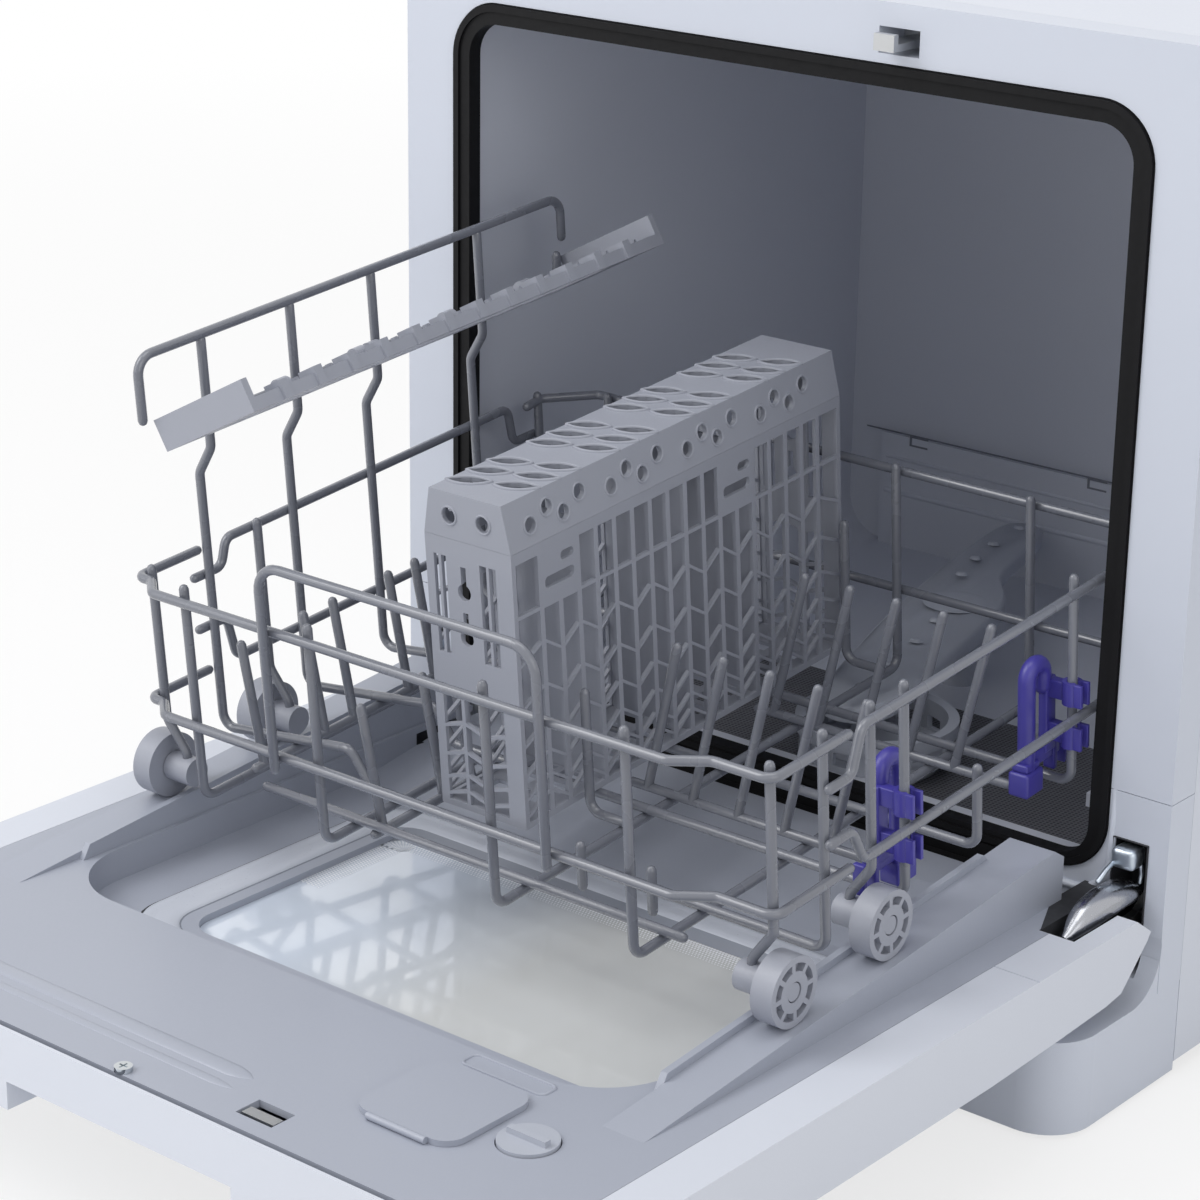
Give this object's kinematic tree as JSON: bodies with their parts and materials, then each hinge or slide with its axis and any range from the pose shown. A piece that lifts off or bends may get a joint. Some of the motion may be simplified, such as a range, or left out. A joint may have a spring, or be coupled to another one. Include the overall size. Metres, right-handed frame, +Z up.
{
  "type": "countertop dishwasher",
  "caption": "Compact countertop dishwasher with its door open, wire rack rolled out on the door, cutlery basket, folding cup shelf and spray arm.",
  "frame": {"origin": "middle of the footprint, on the table", "axes": "+Z up, -Y towards the open door's free end, +X to the right seen from the front"},
  "size_m": [0.42, 0.83, 0.435],
  "materials": {
    "painted_steel": "powder-coated sheet steel",
    "moulded_white": "satin moulded plastic",
    "galvanised_steel": "zinc-plated sheet",
    "rubber_black": "soft rubber",
    "tub_steel": "grey wash tub",
    "grey_plastic": "moulded plastic",
    "filter_mesh": "ribbed filter plate",
    "dark_plastic": "moulded plastic",
    "white_plastic": "moulded plastic",
    "liner_plastic": "satin moulded liner",
    "clear_glass": "toughened glass",
    "button_chrome": "plated plastic",
    "board": "circuit board",
    "screw_steel": "plated steel",
    "chrome_steel": "bright plated steel",
    "coated_wire": "nylon-coated wire",
    "blue_plastic": "moulded plastic",
    "basket_plastic": "moulded plastic"
  },
  "bodies": {
    "cabinet": {"wrap": "painted_steel", "front_frame": "moulded_white", "lower_frame": "moulded_white", "plinth": "moulded_white", "base_pan": "galvanised_steel", "rear_panel": "painted_steel", "feet": "rubber_black", "tub": "tub_steel", "tub_rails": "grey_plastic", "rail_guides": "grey_plastic", "gasket": "rubber_black", "sill_seal": "rubber_black", "filter_plate": "filter_mesh", "filter_cup": "grey_plastic", "micro_filter": "grey_plastic", "sump": "dark_plastic", "spray_post": "grey_plastic", "wash_pump": "dark_plastic", "drain_pump": "dark_plastic", "heater": "galvanised_steel", "inlet_valve": "white_plastic", "strike": "galvanised_steel", "hinge_l": "galvanised_steel", "hinge_r": "galvanised_steel"},
    "spray_arm_body": {"spray_arm": "grey_plastic"},
    "float_body": {"float_cap": "grey_plastic"},
    "door": {"door_skin": "painted_steel", "door_liner": "liner_plastic", "glass_inner": "clear_glass", "glass_outer": "clear_glass", "dispenser": "liner_plastic", "door_board": "board", "screws": "screw_steel", "door_arm_l": "chrome_steel", "door_arm_r": "chrome_steel"},
    "dispenser_lid_body": {"dispenser_lid": "liner_plastic"},
    "rinse_cap_body": {"rinse_cap": "grey_plastic"},
    "button_1_body": {"button_1": "button_chrome"},
    "button_2_body": {"button_2": "button_chrome"},
    "button_3_body": {"button_3": "button_chrome"},
    "button_4_body": {"button_4": "button_chrome"},
    "latch_body": {"latch": "galvanised_steel"},
    "rack": {"rack_belts": "coated_wire", "rack_uprights": "coated_wire", "rack_floor": "coated_wire", "handle": "coated_wire", "tines_right": "coated_wire", "tines_left": "coated_wire", "cup_frame": "coated_wire", "clip_front": "blue_plastic", "clip_rear": "blue_plastic", "wheel_stubs": "basket_plastic"},
    "wheel_fl_body": {"wheel_fl": "basket_plastic"},
    "wheel_fr_body": {"wheel_fr": "basket_plastic"},
    "wheel_rl_body": {"wheel_rl": "basket_plastic"},
    "wheel_rr_body": {"wheel_rr": "basket_plastic"},
    "shelf_body": {"cup_shelf": "basket_plastic"},
    "basket_body": {"basket": "basket_plastic", "dividers": "basket_plastic"},
    "lid_body": {"basket_lid": "basket_plastic"}
  },
  "joints": [
    {"name": "door_hinge", "type": "hinge", "parent": "cabinet", "child": "door", "pos_m": [0, -0.05, 0.064], "axis": [1, 0, 0], "range_deg": [0, 2.5]},
    {"name": "rack_slide", "type": "slide", "parent": "cabinet", "child": "rack", "axis": [0, 0.996, 0.0889], "range_m": [0, 0.245]},
    {"name": "spray_arm_spin", "type": "hinge", "parent": "cabinet", "child": "spray_arm_body", "pos_m": [-0.004, 0.138, 0.114], "axis": [0, 0, 1], "continuous": true},
    {"name": "float_rise", "type": "slide", "parent": "cabinet", "child": "float_body", "axis": [0, 0, 1], "range_m": [0, 0.006]},
    {"name": "cup_shelf_fold", "type": "hinge", "parent": "rack", "child": "shelf_body", "pos_m": [-0.14925, -0.24577, 0.25833], "axis": [0, 0.996, 0.0889], "range_deg": [-45, 27.8]},
    {"name": "wheel_fl_spin", "type": "hinge", "parent": "rack", "child": "wheel_fl_body", "pos_m": [-0.166, -0.23225, 0.10693], "axis": [1, 0, 0], "continuous": true},
    {"name": "wheel_fr_spin", "type": "hinge", "parent": "rack", "child": "wheel_fr_body", "pos_m": [0.166, -0.23225, 0.10693], "axis": [1, 0, 0], "continuous": true},
    {"name": "wheel_rl_spin", "type": "hinge", "parent": "rack", "child": "wheel_rl_body", "pos_m": [-0.166, -0.1705, 0.11244], "axis": [1, 0, 0], "continuous": true},
    {"name": "wheel_rr_spin", "type": "hinge", "parent": "rack", "child": "wheel_rr_body", "pos_m": [0.166, -0.1705, 0.11244], "axis": [1, 0, 0], "continuous": true},
    {"name": "basket_lift", "type": "slide", "parent": "rack", "child": "basket_body", "axis": [0, -0.0889, 0.996], "range_m": [0, 0.06]},
    {"name": "basket_lid_open", "type": "hinge", "parent": "basket_body", "child": "lid_body", "pos_m": [-0.0394, -0.10381, 0.24263], "axis": [0, -0.996, -0.0889], "range_deg": [0, 100]},
    {"name": "dispenser_lid_open", "type": "hinge", "parent": "door", "child": "dispenser_lid_body", "pos_m": [0.104, -0.376, 0.0855], "axis": [1, 0, 0], "range_deg": [0, 100]},
    {"name": "rinse_cap_turn", "type": "hinge", "parent": "door", "child": "rinse_cap_body", "pos_m": [0.144, -0.351, 0.078], "axis": [0, 0, 1], "range_deg": [0, 90]},
    {"name": "button_1_press", "type": "slide", "parent": "door", "child": "button_1_body", "axis": [0, 0, 1], "range_m": [0, 0.0015], "stiffness_N_per_m": 400, "springref_m": -0.002},
    {"name": "button_2_press", "type": "slide", "parent": "door", "child": "button_2_body", "axis": [0, 0, 1], "range_m": [0, 0.0015], "stiffness_N_per_m": 400, "springref_m": -0.002},
    {"name": "button_3_press", "type": "slide", "parent": "door", "child": "button_3_body", "axis": [0, 0, 1], "range_m": [0, 0.0015], "stiffness_N_per_m": 400, "springref_m": -0.002},
    {"name": "button_4_press", "type": "slide", "parent": "door", "child": "button_4_body", "axis": [0, 0, 1], "range_m": [0, 0.0015], "stiffness_N_per_m": 400, "springref_m": -0.002},
    {"name": "latch_press", "type": "slide", "parent": "door", "child": "latch_body", "axis": [0, 1, 0], "range_m": [0, 0.004], "stiffness_N_per_m": 500, "springref_m": -0.002}
  ]
}
